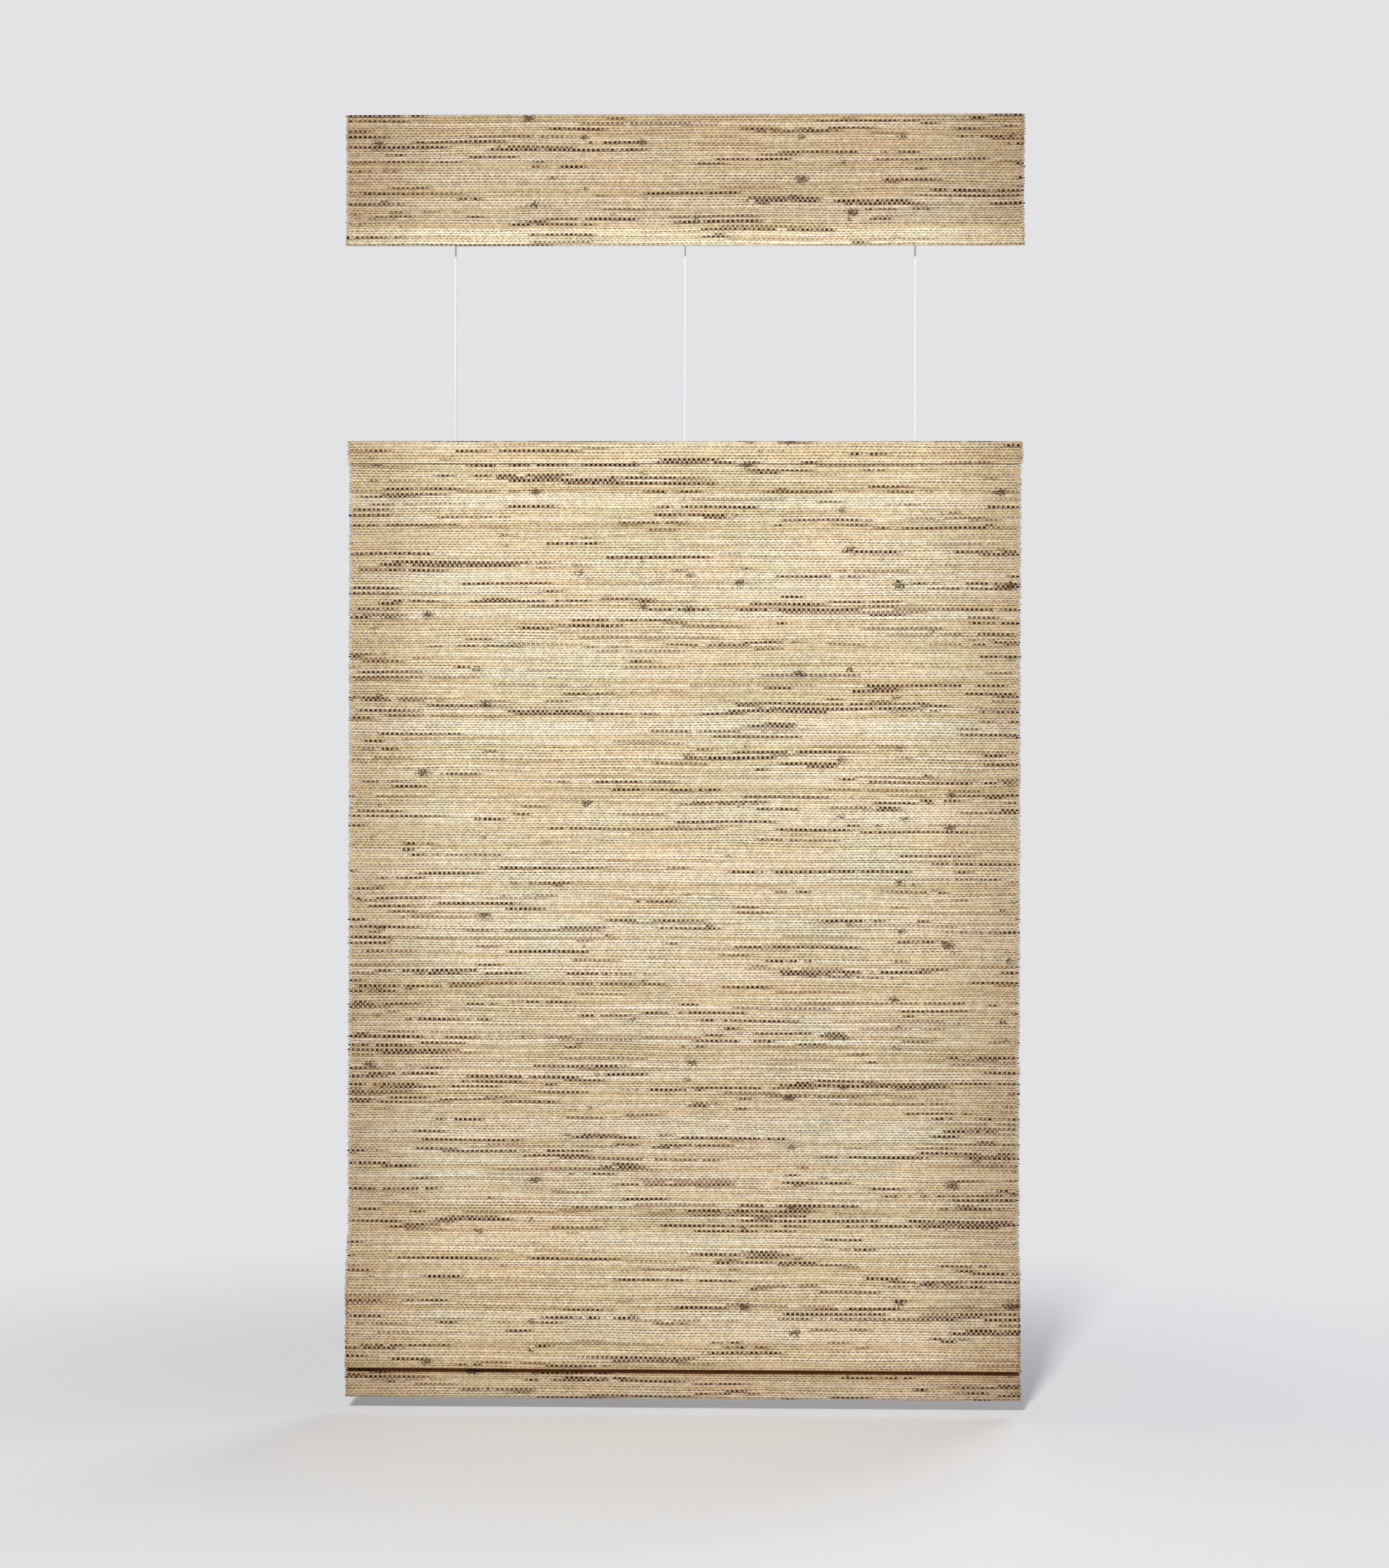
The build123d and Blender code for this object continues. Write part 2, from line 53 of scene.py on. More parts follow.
# Real sizes of the weave, in millimetres
WEFT_PITCH = 3.09
WARP_PITCH = 2.095
CORE_HALF = 0.5  # half the cloth's thickness between two wefts
RIDGE = 0.45  # how far the fattest weft stands out beyond that, on either face
FRINGE = 5.0  # how far the weft ends stand out past the valleys between them
UNEVEN = 1.7  # how much shorter some of them are
END_SHARE = 0.45  # thickness of a weft's cut end, as a share of the weft's own
# Dashes, dots and flecks are too fine to show in the render, so they are drawn wider than the warp spacing
DRAWN_PITCH = 1.36 * WARP_PITCH

# How far each wave shifts the weft lines, in millimetres
WAVER = 0.16  # waves that all the weft lines share
OWN_WAVER = 0.13  # waves of each weft line by itself
STRAIGHT_END = 14.0  # the waves ease in over that length from a sheet's two ends

# How many wefts further on in the weave's pattern each sheet starts, and the rear face of a sheet
SHEET_STEP, REAR_STEP = 997.0, 389.0

# The same routes as the CAD cloth: corners (depth, height, turn radius) in millimetres
LEAN = 6.0  # the panel hangs that much further back just above its folds than at the top rail
HANG_TOP, FOLD_TOP = -412.0, -1325.0
ROW = [-9.05 - 3.8 * layer for layer in range(5)]
PANEL_ROUTE = [
    (ROW[0], -389.0, 0), (ROW[0], HANG_TOP, 24), (ROW[0] + LEAN, FOLD_TOP, 24), (ROW[4], -1375.0, 24),
    (ROW[4], -1485.5, 1.9), (ROW[3], -1485.5, 1.9), (ROW[3], -1401.8, 5), (ROW[1], -1384.8, 5),
    (ROW[1], -1376.0, 1.9), (ROW[0], -1376.0, 1.9), (ROW[0], -1384.8, 5), (ROW[2], -1401.8, 5),
    (ROW[2], -1473.5, 1.9), (ROW[1], -1473.5, 1.9), (ROW[1], -1408.0, 1.9), (ROW[0], -1408.0, 1.9),
    (ROW[0], -1518.0, 0)]
VALANCE_ROUTE = [
    (-31.85, -1.0, 0), (-31.85, -134.5, 30), (-35.05, -156.0, 1.4), (-31.65, -156.0, 1.4),
    (-28.45, -134.5, 0)]
TOP_COVER_ROUTE = [
    (9.15, -406.0, 0), (9.15, -384.95, 6.15), (-11.15, -384.95, 6.15), (-11.15, -412.0, 0)]
BOTTOM_COVER_ROUTE = [
    (-11.15, -1482.0, 0), (-11.15, -1523.05, 6.15), (9.15, -1523.05, 6.15), (9.15, -1488.0, 0)]
ARC_STEP, LINE_STEP = 0.4, 0.25  # spacing of the points that draw an arc, and of those along the whole route

# The panel is two pieces that meet at one line
SPLIT, SPLIT_HEIGHT = 558.0, -947.0  # that line along the route, and as a height

# How dull the cloth is drawn, from 0 to 1, at places in millimetres along a route; on the panel and under the
# lowest fold it is painted shade
# painted shade: the panel is drawn darker and browner towards its bottom, most where it turns under at the
# lowest fold; the same values add dark runs there
PANEL_PAINTED_SHADE = ([450, 800, 1080, 1096], [0.0, 0.15, 0.17, 0.28])
VALANCE_DULL = ([128, 134], [0.29, 0.0])
# painted shadow: up to 11.5 mm along the cover, right under the lowest fold, is drawn dark brown, and the
# rest of the strip is drawn duller and browner
BOTTOM_COVER_SHADOW_AND_DULL = ([9.5, 11.5], [1.0, 0.34])  # the dark line is right under the lowest fold

# Lift cords, in millimetres: from the axis of the lift shafts down to the bead in each rail
CORD_X = (-274.0, 0.0, 274.0)
PLACES = ("left", "centre", "right")
CORD_TOP = -21.5
CORD_RADIUS = 0.7
CORD_POINTS, CORD_SIDES = 7, 10  # control points of its curve, and corners of its section
BRAID_PITCH = 0.748
SLOT_HALF = 1.1  # half the width of the cut in the top rail cover that a cord passes through
SLOT_REACH = 4.6  # how far that cut reaches from the middle of the rail

# Rings on the back of the panel, in millimetres
RING_RADIUS, RING_WIRE = 6.0, 1.0
RING_PITCH, LOWEST_RING = 168.0, -1319.0
ROUND, SECTION = 20, 8  # points round the ring and round its wire


def paint(code):
    """A hex colour as the eye sees it, turned into linear light."""
    part = np.array([int(code[i:i + 2], 16) for i in (0, 2, 4)]) / 255
    linear = np.where(part <= 0.04045, part / 12.92, ((part + 0.055) / 1.055) ** 2.4)
    return (*linear.tolist(), 1.0)


def per(size):
    """How often a size in millimetres goes into a metre: the scale of a pattern of that size."""
    return 1 / (size * MM)


def add(tree, kind, *inputs, tones=(), **settings):
    """Adds one node. An input is a value, a socket or a node's first output, and None leaves it alone.
    Tones are the stops of a colour ramp: a place from 0 to 1 and a hex colour."""
    made = tree.nodes.new("ShaderNode" + kind)
    for name, value in settings.items():
        setattr(made, name, value)
    for socket, value in zip(made.inputs, inputs):
        if isinstance(value, bpy.types.Node):
            value = value.outputs[0]
        if isinstance(value, bpy.types.NodeSocket):
            tree.links.new(value, socket)
        elif value is not None:
            socket.default_value = value
    if tones:
        stops = made.color_ramp.elements
        while len(stops) < len(tones):
            stops.new(1.0)
        for stop, (at, code) in zip(stops, tones):
            stop.position, stop.color = at, paint(code)
    return made


def blank(name):
    """A new material, its node tree and its main shader."""
    made = bpy.data.materials.new(name)
    made.use_nodes = True
    return made, made.node_tree, made.node_tree.nodes["Principled BSDF"]


# Grass and jute weave: straw wefts, some with dark runs, cut into dashes by cream warp threads
WEFT_TONES = ((0.08, "fffaec"), (0.38, "f3e6cb"), (0.60, "e1cea9"), (0.85, "c2a67c"), (1.00, "96744d"))
RUN_TONES = ((0.0, "040202"), (0.5, "170b06"), (0.75, "4e2c16"), (1.0, "8f5d38"))


def woven_grass(name):
    """Weave drawn from the sheet's own grid: u is metres across, v counts the wefts. Of a pattern's scale
    the first number is per metre and the second per weft. A large second one makes neighbours differ."""
    made, tree, shader = blank(name)
    node = partial(add, tree)
    times, times_add = {"operation": "MULTIPLY"}, {"operation": "MULTIPLY_ADD"}
    whole, zigzag = {"operation": "FLOOR"}, {"operation": "PINGPONG"}
    flat, tint = {"noise_dimensions": "2D"}, {"blend_type": "MULTIPLY"}
    smooth = {"interpolation_type": "SMOOTHSTEP"}

    cloth = node("UVMap", uv_map="weave").outputs[0]
    u, v = node("SeparateXYZ", cloth).outputs[:2]
    weft = node("Math", v, **whole).outputs[0]
    line = node("Math", v, operation="ROUND")
    row, seam = node("CombineXYZ", u, weft), node("CombineXYZ", u, line)
    middle = node("Math", v, 0.5, **zigzag).outputs[0]
    dull_and_shade = node("Attribute", attribute_name="dull_and_shade").outputs["Fac"]
    own = node("TexWhiteNoise", None, weft, noise_dimensions="1D")

    # noises over the cloth, in this order: coordinates, shift, scale, detail and roughness of each
    slow, streak, patch, lean, loose, fibre, speck = [
        node("TexNoise", node("Mapping", at, shift, None, scale), None, 1.0, detail, rough, **flat)
        for at, shift, scale, detail, rough in (
            (row, None, (per(200), 11.37, 1), 2.0, 0.5),
            (row, None, (per(29.41), 7.13, 1), 3.0, 0.6),
            (cloth, None, (per(333.3), 0.04, 1), 2.0, 0.5),
            (cloth, (31, 0, 0), (per(125), 0.03, 1), 2.0, 0.5),
            (seam, None, (per(166.7), 5.71, 1), 3.0, 0.6),
            (cloth, None, (per(3.846), 5, 1), 2.0, 0.6),
            (cloth, None, (per(2.381), 1.7, 1), 2.0, 0.5))]

    # each weft has its own tone, which drifts slowly and streaks along it; patches span many wefts
    tone = node("Math", own, 0.46, -0.36, **times_add)
    for noise, share in ((slow, 0.4), (streak, 0.42), (patch, 0.3)):
        tone = node("Math", noise, share, tone, **times_add)
    colour = node("ValToRGB", tone, tones=WEFT_TONES)

    # broad patches lean to pink or to green, as dried grass does, and the cloth is drawn browner towards its
    # cut sides as painted shade
    lean = node("MixRGB", node("MapRange", lean, 0.36, 0.64), paint("fef8f1"), paint("f5f9f2"))
    colour = node("MixRGB", 1.0, colour, lean, **tint)
    edge = node("MapRange", node("Math", u, operation="ABSOLUTE"), 0.26, 0.4, **smooth)
    colour = node("MixRGB", node("Math", edge, 0.5, **times), colour, paint("a08058"))

    # cream warp threads pass over every second weft, and half a step along on the next one
    thread = node("Math", u, per(2 * WARP_PITCH), **times)
    step = node("Math", node("Math", weft, 0.5, thread, **times_add), 0.5, **zigzag)
    over = node("MapRange", step, 0.25, 0.33, **smooth)
    colour = node("MixRGB", node("Math", over, 0.52, **times), colour, paint("e3d5ba"))

    # a darker line of painted shade between two threads, and flecks that are lighter or darker than their
    # neighbours
    beside = node("Math", node("Math", thread, 2.0, **times), 0.5, **zigzag)
    side = node("MapRange", beside, 0.26, 0.02, **smooth)
    side = node("Math", side, node("MapRange", middle, 0.5, 0.14, 0.12, 0.5), **times)
    colour = node("MixRGB", side, colour, paint("7a6446"))
    drawn = node("Math", u, per(DRAWN_PITCH), **times)
    fleck = node("CombineXYZ", node("Math", drawn, **whole), weft)
    fleck = node("TexWhiteNoise", fleck, **flat).outputs["Value"]
    colour = node("MixRGB", 1.0, colour, node("MapRange", fleck, 0.0, 1.0, 0.82, 1.1), **tint)

    # a stem is about 190 mm long: one in six has a dark run on part of its length, and two more in six have a
    # fainter brown one; cloth drawn dull or shaded, and the cut sides, have more dark ones
    place = node("Math", u, per(192.3), node("Math", own, 40.0, **times), **times_add)
    place = node("Math", slow, 1.6, place, **times_add)
    stem = node("CombineXYZ", node("Math", place, **whole), weft)
    chance = node("TexWhiteNoise", stem, **flat).outputs["Color"]
    pick, start, end = node("SeparateXYZ", chance).outputs
    pick = node("Math", dull_and_shade, -0.4, pick, **times_add)
    pick = node("Math", edge, -0.2, pick, **times_add)
    along = node("Math", place, operation="FRACT")
    start = node("Math", start, 0.4, **times)
    end = node("Math", end, 0.7, 0.3, **times_add)
    dark = node("MapRange", along, start, node("Math", start, 0.06), **smooth)
    for gate in (node("MapRange", along, end, node("Math", end, -0.12), **smooth),
                 node("MapRange", pick, 0.17, 0.52, 1.0, 0.0),
                 node("MapRange", streak, 0.34, 0.42, 0.1, 1.0)):
        dark = node("Math", dark, gate, **times)
    colour = node("MixRGB", node("Math", dark, 0.5, **times), colour, paint("b98f68"))

    # the warp cuts these runs into dashes along the middle of the weft, some of them paler than others
    dash = node("Math", node("Math", weft, drawn), 1.0, **zigzag)
    for gate in (node("MapRange", middle, 0.1, 0.17, 0.0, 1.0, **smooth),
                 node("MapRange", dash, 0.58, 0.7, 1.0, 0.0, **smooth),
                 node("MapRange", fleck, 0.0, 0.3, 0.35, 1.0)):
        dark = node("Math", dark, gate, **times)
    depth = node("MapRange", pick, 0.0, 0.34, 0.0, 0.75)
    depth = node("Math", node("Math", streak, 0.5, operation="SUBTRACT"), -0.5, depth, **times_add)
    colour = node("MixRGB", dark, colour, node("ValToRGB", depth, tones=RUN_TONES))

    # painted shade: dark lines where two wefts stand apart, dotted by the warp threads
    gap_shade = node("MapRange", middle, 0.33, 0.08, **smooth)
    dots = node("Math", node("Math", line, drawn), 1.0, **zigzag)
    for gate in (node("MapRange", loose, 0.36, 0.62, 0.5, 1.0),
                 node("MapRange", dots, 0.45, 0.65, 1.0, 0.35),
                 node("MapRange", fleck, 0.0, 1.0, 1.0, 0.7)):
        gap_shade = node("Math", gap_shade, gate, **times)
    colour = node("MixRGB", gap_shade, colour, paint("1a1003"))

    # fine fibre along each weft
    colour = node("MixRGB", 1.0, colour, node("MapRange", fibre, 0.2, 0.8, 0.84, 1.1), **tint)

    # here and there a frayed knot about 10 mm long, where one stem ends and the next begins
    spot = node("TexVoronoi", node("Mapping", cloth, None, None, (per(62.5), 0.085, 1)), None, 1.0,
                voronoi_dimensions="2D")
    pick, size = node("SeparateXYZ", spot.outputs["Color"]).outputs[:2]
    away = node("Math", speck, 0.42, spot.outputs["Distance"], **times_add)
    reach = node("MapRange", size, 0.0, 1.0, 0.23, 0.34)
    knot = node("MapRange", away, reach, node("Math", reach, -0.03))
    knot = node("Math", knot, node("Math", pick, 0.24, operation="LESS_THAN"), **times)
    knot = node("Math", knot, 0.85, **times)
    tone = node("MapRange", speck, 0.36, 0.6, 0.36, 0.95)
    colour = node("MixRGB", knot, colour, node("ValToRGB", tone, tones=RUN_TONES))

    # some of the cloth is drawn duller and browner than the rest: painted shade low on the panel, a painted
    # shadow under the lowest fold, and a duller valance above its hem
    colour = node("MixRGB", 1.0, colour, node("MixRGB", dull_and_shade, paint("ffffff"), paint("895000")), **tint)
    tree.links.new(colour.outputs[0], shader.inputs["Base Color"])
    shader.inputs["Roughness"].default_value = 0.8
    shader.inputs["Specular IOR Level"].default_value = 0.2

    # warp threads and fibres stand up a little
    raised = node("Bump", 0.5, 0.4 * MM, None, node("Math", over, 0.6, fibre, **times_add))
    tree.links.new(raised.outputs[0], shader.inputs["Normal"])
    return made


def route_line(route):
    """Evenly spaced points along straight runs between the given corners, with an arc of its own radius at
    each corner. The real part is the depth and the imaginary part the height."""
    corner = np.array([complex(y, z) for y, z, radius in route])
    line = [corner[:1]]
    for i in range(1, len(route) - 1):
        radius = route[i][2]
        into = (corner[i] - corner[i - 1]) / abs(corner[i] - corner[i - 1])
        away = (corner[i + 1] - corner[i]) / abs(corner[i + 1] - corner[i])
        bend = np.angle(away / into)
        start = corner[i] - into * radius * np.tan(abs(bend) / 2)
        centre = start + into * 1j * np.sign(bend) * radius
        sweep = np.linspace(0, bend, max(3, int(abs(bend) * radius / ARC_STEP) + 2))
        line.append(centre + (start - centre) * np.exp(1j * sweep))
    line = np.concatenate(line + [corner[-1:]])
    run = np.concatenate([[0], np.cumsum(abs(np.diff(line)))])
    keep = np.concatenate([[True], np.diff(run) > 1e-6])
    even = np.arange(0, run[-1], LINE_STEP)
    run, line = run[keep], line[keep]
    return even, np.interp(even, run, line.real) + 1j * np.interp(even, run, line.imag)


def mesh_piece(name, points, faces, material):
    """A smooth mesh object at the origin from an array of points in metres and a list of faces."""
    mesh = bpy.data.meshes.new(name)
    mesh.from_pydata(points.tolist(), [], faces)
    mesh.polygons.foreach_set("use_smooth", np.ones(len(faces), bool))
    mesh.materials.append(material)
    made = bpy.data.objects.new(name, mesh)
    bpy.context.scene.collection.objects.link(made)
    return made


def woven_sheet(name, route, width, columns, seed, material, part=(0.0, None), dull_and_shade=([0], [0.0]), slots=()):
    """Reeded sheet: a point lies on the route at its weft's place, pushed out by a half sine across each
    weft, and the weft lines waver by a sum of slow sine waves. Weft ends stand out as a fringe. Part is the
    stretch of the route that it covers, and slots are the places across it where a cord passes through."""
    random = np.random.default_rng(seed)
    run, line = route_line(route)
    heading = np.gradient(line)
    normal = heading / abs(heading) * -1j
    first, last = part[0], run[-1] if part[1] is None else part[1]
    count = int(round((last - first) / WEFT_PITCH))
    width_of = random.uniform(0.78, 1.22, count)
    bounds = first + (last - first) * np.concatenate([[0], np.cumsum(width_of)]) / width_of.sum()

    # even columns of points, from 2 mm inside the fringe, and one at each side
    inner = width / 2 - FRINGE - 2
    x = np.concatenate([[-width / 2], np.linspace(-inner, inner, columns - 2), [width / 2]])
    for cord in slots:
        x = np.sort(np.concatenate([x, [cord - SLOT_HALF, cord + SLOT_HALF]]))
    easing = np.clip(np.minimum(bounds - first, last - bounds) / STRAIGHT_END, 0, 1)[:, None]
    place = bounds[:, None] + 0 * x
    across = random.uniform(0.0008, 0.006, 9)
    along = random.uniform(-0.02, 0.02, 9)
    phase = random.uniform(0, 2 * np.pi, 9)
    for a, b, c in zip(across, along, phase):
        place = place + WAVER * easing * np.sin(2 * np.pi * (a * x + b * bounds[:, None]) + c)
    for wave in range(3):
        a = random.uniform(0.002, 0.012, (count + 1, 1))
        c = random.uniform(0, 2 * np.pi, (count + 1, 1))
        place = place + OWN_WAVER * easing * np.sin(2 * np.pi * a * x + c)

    # four lines of points to a weft, the first one in the valley before it
    share = np.array([0.0, 0.22, 0.5, 0.78])
    rows = place[:-1, None, :] + share[None, :, None] * (place[1:] - place[:-1])[:, None, :]
    rows = np.concatenate([rows.reshape(-1, len(x)), place[-1:]])
    index = np.append((np.arange(count)[:, None] + share).ravel(), count)
    ridge = np.append(RIDGE * np.repeat(random.uniform(0.6, 1.0, count), len(share)), 0)
    half = CORE_HALF + ridge * np.sin(np.pi * (index % 1))
    half = np.repeat(half[:, None], len(x), 1)
    half[:, [0, -1]] *= END_SHARE

    # the cut sides: wefts end unevenly, and the valleys between them lie further in
    xs = np.repeat(x[None, :], len(rows), 0)
    for side in (0, -1):
        cut = np.append(np.repeat(random.uniform(0, UNEVEN, count), len(share)), 0)
        cut[index % 1 == 0] += FRINGE
        xs[:, side] -= np.sign(x[side]) * cut
    spot = np.interp(rows, run, line.real) + 1j * np.interp(rows, run, line.imag)
    out = np.interp(rows, run, normal.real) + 1j * np.interp(rows, run, normal.imag)
    faced = np.stack([spot + out * half, spot - out * half])
    points = np.stack([np.stack([xs, xs]), faced.real, faced.imag], -1).reshape(-1, 3) * MM

    # front and rear faces, and a rim along each edge, round each slot too
    grid = np.arange(rows.size).reshape(rows.shape)
    behind = rows.size
    solid = np.ones((len(rows) - 1, len(x) - 1), bool)
    edges = [grid[::-1, 0], grid[0], grid[:, -1], grid[-1, ::-1]]
    depth = np.interp(np.interp(index, np.arange(count + 1), bounds), run, line.real)
    for cord in slots:
        i = int(np.argmin(abs(x - (cord - SLOT_HALF))))
        inside = np.flatnonzero(abs(depth) < SLOT_REACH)
        start, end = inside[0], inside[-1]
        solid[start:end, i] = False
        left, right = grid[start:end + 1, i], grid[start:end + 1, i + 1]
        edges.append(np.concatenate([left, right[::-1], left[:1]]))
    quad = np.stack([grid[:-1, :-1], grid[1:, :-1], grid[1:, 1:], grid[:-1, 1:]], -1)[solid]
    rims = [np.stack([edge[1:], edge[1:] + behind, edge[:-1] + behind, edge[:-1]], -1) for edge in edges]
    faces = np.concatenate([quad, quad[:, ::-1] + behind] + rims)
    made = mesh_piece(name, points, faces.tolist(), material)

    # each sheet, and each face of it, reads another part of the weave's pattern
    layer = made.data.uv_layers.new(name="weave")
    table = np.stack([xs * MM, np.repeat(index[:, None], len(x), 1) + SHEET_STEP * seed], -1).reshape(-1, 2)
    table = np.concatenate([table, table + np.array([0.0, REAR_STEP])])
    layer.data.foreach_set("uv", table[faces.ravel()].astype(np.float32).ravel())
    weight = made.data.attributes.new("dull_and_shade", "FLOAT", "POINT")
    weight.data.foreach_set("value", np.tile(np.interp(rows, *dull_and_shade).ravel(), 2).astype(np.float32))
    return made, (width * MM, (last - first) * MM)


grass = woven_grass("grass_weave")
upper, upper_flat = woven_sheet("woven_panel_upper", PANEL_ROUTE, width=801.0, columns=42, seed=3,
                                material=grass, part=(0.0, SPLIT), dull_and_shade=PANEL_PAINTED_SHADE)
lower, lower_flat = woven_sheet("woven_panel_lower", PANEL_ROUTE, width=801.0, columns=40, seed=4,
                                material=grass, part=(SPLIT, None), dull_and_shade=PANEL_PAINTED_SHADE)
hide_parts("shade_panel")
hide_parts("shade_panel")
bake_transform(upper)
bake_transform(lower)

valance, valance_flat = woven_sheet("woven_valance", VALANCE_ROUTE, width=804.0, columns=44, seed=1,
                                    material=grass, dull_and_shade=VALANCE_DULL)
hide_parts("valance")
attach(valance, "headrail")

top_cover, top_flat = woven_sheet("woven_top_rail_cover", TOP_COVER_ROUTE, width=805.0, columns=44, seed=2,
                                  material=grass, slots=CORD_X)
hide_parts("top_rail_cover")
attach(top_cover, "top_rail")

low_cover, low_flat = woven_sheet("woven_bottom_rail_cover", BOTTOM_COVER_ROUTE, width=804.0, columns=44,
                                  seed=5, material=grass, dull_and_shade=BOTTOM_COVER_SHADOW_AND_DULL)
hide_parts("bottom_rail_cover")
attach(low_cover, "bottom_rail")


def plain(name, code, rough, metal, grain, spread, bump, depth):
    """Finish of one colour: a noise with cells of the grain's three sizes shifts its lightness by the spread
    and lifts its surface by the bump times the depth. Grain and depth are in millimetres."""
    made, tree, shader = blank(name)
    scale = [per(size) for size in grain]
    noise = add(tree, "Mapping", add(tree, "TexCoord").outputs["Object"], None, None, scale)
    noise = add(tree, "TexNoise", noise, None, 1.0, 4.0, 0.6)
    shift = add(tree, "MapRange", noise, 0.25, 0.75, 1 - spread, 1 + spread)
    colour = add(tree, "MixRGB", 1.0, paint(code), shift, blend_type="MULTIPLY")
    tree.links.new(colour.outputs[0], shader.inputs["Base Color"])
    shader.inputs["Roughness"].default_value = rough
    shader.inputs["Metallic"].default_value = metal
    raised = add(tree, "Bump", bump, depth * MM, None, noise)
    tree.links.new(raised.outputs[0], shader.inputs["Normal"])
    return made


def braided_cord(name):
    """White braid: a wave along the cord, slightly uneven, draws the ridges across it. A wave texture repeats
    every tenth of pi of its scaled coordinate."""
    made, tree, shader = blank(name)
    place = add(tree, "TexCoord").outputs["Object"]
    ridge = add(tree, "TexWave", place, np.pi / 10 * per(BRAID_PITCH), 1.2, 1.0, bands_direction="Z")
    ridge = ridge.outputs["Fac"]
    shade = add(tree, "Math", ridge, 0.1, operation="MULTIPLY")
    colour = add(tree, "MixRGB", shade, paint("f7f4ec"), paint("cfc8ba"))
    tree.links.new(colour.outputs[0], shader.inputs["Base Color"])
    shader.inputs["Roughness"].default_value = 0.6
    raised = add(tree, "Bump", 0.3, 0.2 * MM, None, ridge)
    tree.links.new(raised.outputs[0], shader.inputs["Normal"])
    return made


# For each slot: name, colour, roughness, metallic, grain, spread, bump and depth
finishes = {
    # satin white coat, a little uneven like orange peel
    "channel_white": plain("powder_coated_aluminium", "ebe9e4", 0.38, 0.0, (1.111,) * 3, 0.015, 0.12, 0.1),
    # grey metal with a faint blue cast and mottled crystals
    "zinc_steel": plain("zinc_plated_steel", "b4b8bd", 0.36, 1.0, (4.167,) * 3, 0.14, 0.04, 0.1),
    # matt off-white moulding
    "cap_plastic": plain("moulded_white_plastic", "e6e3dc", 0.5, 0.0, (1.429,) * 3, 0.02, 0.08, 0.1),
    # tan moulding that sinks into the colour of the cloth
    "cap_tan": plain("moulded_tan_plastic", "b39a78", 0.55, 0.0, (1.429,) * 3, 0.03, 0.08, 0.1),
    # milky white nylon
    "mechanism_plastic": plain("moulded_nylon", "dedcd6", 0.45, 0.0, (2.0,) * 3, 0.02, 0.05, 0.1),
    # dark grey slippery plastic
    "spool_plastic": plain("moulded_grey_acetal", "54575b", 0.36, 0.0, (2.0,) * 3, 0.04, 0.05, 0.1),
    # cool light grey housing
    "motor_plastic": plain("moulded_grey_housing", "babec2", 0.5, 0.0, (1.667,) * 3, 0.02, 0.1, 0.1),
    # blue-grey strip with rolling lines round the coil
    "spring_steel": plain("rolled_spring_steel", "6f7681", 0.28, 1.0, (0.3846, 16.67, 16.67),
                          0.16, 0.06, 0.1),
    # bright rod with drawing lines along it
    "shaft_steel": plain("drawn_steel", "a7a9ab", 0.3, 1.0, (50.0, 0.5556, 0.5556), 0.12, 0.06, 0.1),
    # white cord with fine ridges across it
    "cord_white": braided_cord("braided_polyester_cord"),
    # pale planed timber with its grain along the rail
    "batten_wood": plain("planed_basswood", "d2b487", 0.6, 0.0, (166.7, 3.846, 3.846), 0.16, 0.1, 0.3),
    # dull soft metal with crimp marks
    "bead_aluminium": plain("crimped_aluminium", "c9cacc", 0.42, 1.0, (1.667,) * 3, 0.08, 0.2, 0.3),
    # white pile, matt and rough
    "tape_white": plain("hook_and_loop_tape", "ece9e1", 0.95, 0.0, (0.7143,) * 3, 0.1, 0.6, 0.6),
    # smooth cream moulding
    "ring_plastic": plain("moulded_cream_ring", "ece6d6", 0.3, 0.0, (2.5,) * 3, 0.02, 0.03, 0.1),
}
for entry in frame["record"]["subparts"]:
    solid = frame["nodes"][entry["node"]]
    solid.data.materials.clear()
    solid.data.materials.append(finishes.get(entry["material_slot"], grass))


def spline_points(points):
    """Points along a smooth curve that has the given control points, as the curve itself gives them."""
    curve = bpy.data.curves.new("route", "CURVE")
    curve.dimensions = "3D"
    spline = curve.splines.new("NURBS")
    spline.points.add(len(points) - 1)
    spline.points.foreach_set("co", np.array([(*p, 1.0) for p in points]).ravel())
    spline.order_u = 3
    spline.use_endpoint_u = True
    spline.resolution_u = 16
    holder = bpy.data.objects.new("route", curve)
    bpy.context.scene.collection.objects.link(holder)
    bpy.context.view_layer.update()
    mesh = bpy.data.meshes.new_from_object(holder.evaluated_get(bpy.context.evaluated_depsgraph_get()))
    found = np.array([vertex.co for vertex in mesh.vertices])
    bpy.data.objects.remove(holder)
    bpy.data.curves.remove(curve)
    bpy.data.meshes.remove(mesh)
    return found


def upright_tube(name, path, radius, sides, material):
    """Closed tube: a level circle of that radius carried down the path, with a flat cap at each end."""
    turn = np.arange(sides) * 2 * np.pi / sides
    ring = np.stack([np.cos(turn), np.sin(turn), 0 * turn], -1) * radius
    points = (path[:, None, :] + ring[None]).reshape(-1, 3)
    grid = np.arange(len(points)).reshape(len(path), sides)
    beside = np.roll(grid, -1, 1)
    faces = np.stack([grid[1:], beside[1:], beside[:-1], grid[:-1]], -1).reshape(-1, 4).tolist()
    return mesh_piece(name, points, faces + [grid[0].tolist(), grid[-1, ::-1].tolist()], material)


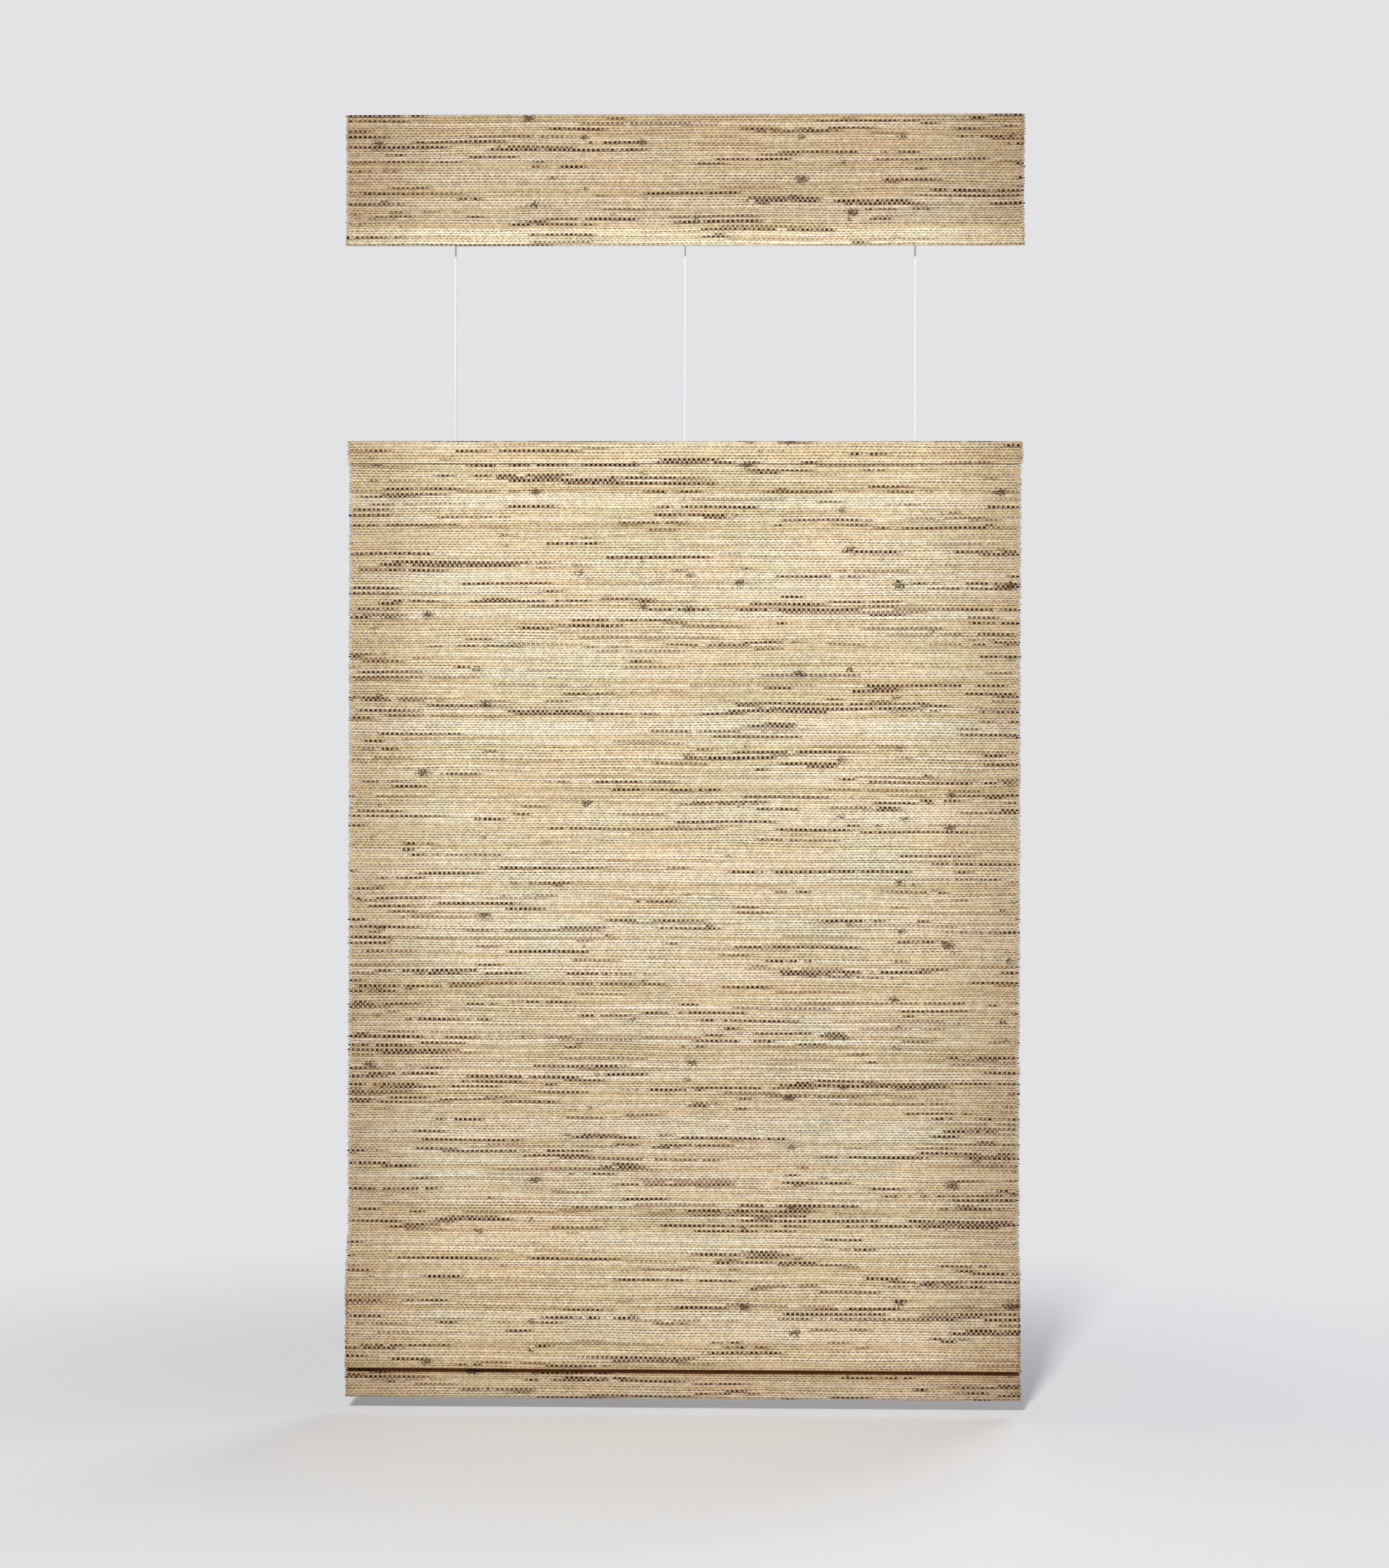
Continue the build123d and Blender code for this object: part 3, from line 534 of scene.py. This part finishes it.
# Each lift's rail, its cords' depth and lower end in millimetres, and the height in metres below which a cord
# goes wholly with the rail
for lift, body, depth, low, held in (("top", "top_rail", -2.3, -395.1, -0.384),
                                     ("bottom", "bottom_rail", 2.3, -1495.9, -1.48)):
    for place, x in zip(PLACES, CORD_X):
        heights = np.linspace(CORD_TOP, low, CORD_POINTS)
        path = spline_points([(x * MM, depth * MM, z * MM) for z in heights])
        made = upright_tube(lift + "_cord_" + place, path, CORD_RADIUS * MM, CORD_SIDES,
                            finishes["cord_white"])
        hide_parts(lift + "_lift_cord_" + place)
        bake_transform(made)


def ring_rows(name, rows):
    """Sewn rings: a small circle swept round a larger one at each place, lying flat."""
    big, small = np.arange(ROUND) * 2 * np.pi / ROUND, np.arange(SECTION) * 2 * np.pi / SECTION
    reach = RING_RADIUS + RING_WIRE * np.cos(small)[None, :]
    rise = np.repeat(RING_WIRE * np.sin(small)[None, :], ROUND, 0)
    shape = np.stack([reach * np.cos(big)[:, None], reach * np.sin(big)[:, None], rise], -1).reshape(-1, 3)
    grid = np.arange(len(shape)).reshape(ROUND, SECTION)
    near, up = np.roll(grid, -1, 0), np.roll(grid, -1, 1)
    quad = np.stack([grid, near, np.roll(near, -1, 1), up], -1).reshape(-1, 4)
    centres = np.array([(x, y, z) for y, z in rows for x in CORD_X])
    points = (centres[:, None, :] + shape[None]).reshape(-1, 3) * MM
    faces = (np.arange(len(centres))[:, None, None] * len(shape) + quad[None]).reshape(-1, 4)
    made = mesh_piece(name, points, faces.tolist(), finishes["ring_plastic"])
    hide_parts("panel_rings")
    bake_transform(made)


# A ring touches the back of the panel, which leans, and the two lowest rows of rings are on the folds
touch = ROW[0] + CORE_HALF + RIDGE + RING_RADIUS + RING_WIRE
hung = [(touch + LEAN * (HANG_TOP - z) / (HANG_TOP - FOLD_TOP), z)
        for z in LOWEST_RING + RING_PITCH * np.arange(6)]
folded = [(touch, -1379.8), (touch, -1411.8)]
ring_rows("rings_upper", [row for row in hung if row[1] > SPLIT_HEIGHT])
ring_rows("rings_lower", [row for row in hung if row[1] < SPLIT_HEIGHT] + folded)

# Studio: a pale floor just under the shade that fades out into an even pale surround
bpy.ops.mesh.primitive_circle_add(vertices=96, radius=3.0, fill_type="NGON", location=(0, 0, -1.54))
floor = bpy.context.object
floor.name = "studio_floor"
floor_paint, tree, shader = blank("pale_studio_floor")
shader.inputs["Base Color"].default_value = paint("e8eaef")
shader.inputs["Roughness"].default_value = 1.0
shader.inputs["Specular IOR Level"].default_value = 0.0
reach = add(tree, "VectorMath", add(tree, "TexCoord").outputs["Object"], operation="LENGTH").outputs["Value"]
faded = add(tree, "MapRange", reach, 0.35, 1.5, 0.0, 1.0, interpolation_type="SMOOTHSTEP")
mixed = add(tree, "MixShader", faded, shader, add(tree, "BsdfTransparent"))
tree.links.new(mixed.outputs[0], tree.nodes["Material Output"].inputs["Surface"])
floor.data.materials.append(floor_paint)

# The camera and mirrored rays see the surround as it is, and everything else gets a weaker light from it
world = bpy.data.worlds.new("pale_surround")
bpy.context.scene.world = world
world.use_nodes = True
tree = world.node_tree
seen = add(tree, "Background", paint("e3e3e5"), 1.0)
given = add(tree, "Background", paint("f2f4f8"), 0.24)
ray = add(tree, "LightPath").outputs
shown = add(tree, "Math", ray["Is Camera Ray"], ray["Is Glossy Ray"], operation="MAXIMUM")
shown = add(tree, "Math", shown, ray["Is Transmission Ray"], operation="MAXIMUM")
mixed = add(tree, "MixShader", shown, given, seen)
tree.links.new(mixed.outputs[0], tree.nodes["World Output"].inputs["Surface"])


def lamp(name, place, aim, width, power, code):
    """A square soft light at a place, turned towards a point."""
    data = bpy.data.lights.new(name, "AREA")
    data.shape = "SQUARE"
    data.size, data.energy = width, power
    data.color = paint(code)[:3]
    made = bpy.data.objects.new(name, data)
    made.location = place
    made.rotation_euler = (Vector(aim) - Vector(place)).to_track_quat("-Z", "Y").to_euler()
    bpy.context.scene.collection.objects.link(made)


# A small warm key from the front, above and a little left, a broad fill from the right, another from behind
lamp("key", (-0.5, -4.2, 0.85), (0, 0, -0.75), 0.4, 219, "fffaf2")
lamp("fill", (2.6, -2.4, 0.6), (0, 0, -0.6), 1.6, 8, "f2f5ff")
lamp("rear_fill", (1.6, 3.0, -0.5), (0, 0, -0.75), 1.8, 85, "f6f8ff")

# Camera: place, lens and turn that match the view in the photo
eye = bpy.data.cameras.new("eye")
eye.lens, eye.sensor_width = 68.67, 36
eye.clip_end = 100
camera = bpy.data.objects.new("eye", eye)
camera.location = (0.0881, -3.564, -0.809)
aim = Vector((0.0136, -0.038, -0.7928)) - camera.location
roll = Quaternion((0, 0, 1), radians(0.15))
camera.rotation_euler = (aim.to_track_quat("-Z", "Y") @ roll).to_euler()
bpy.context.scene.collection.objects.link(camera)
bpy.context.scene.camera = camera

bpy.context.scene.view_settings.view_transform = "Standard"
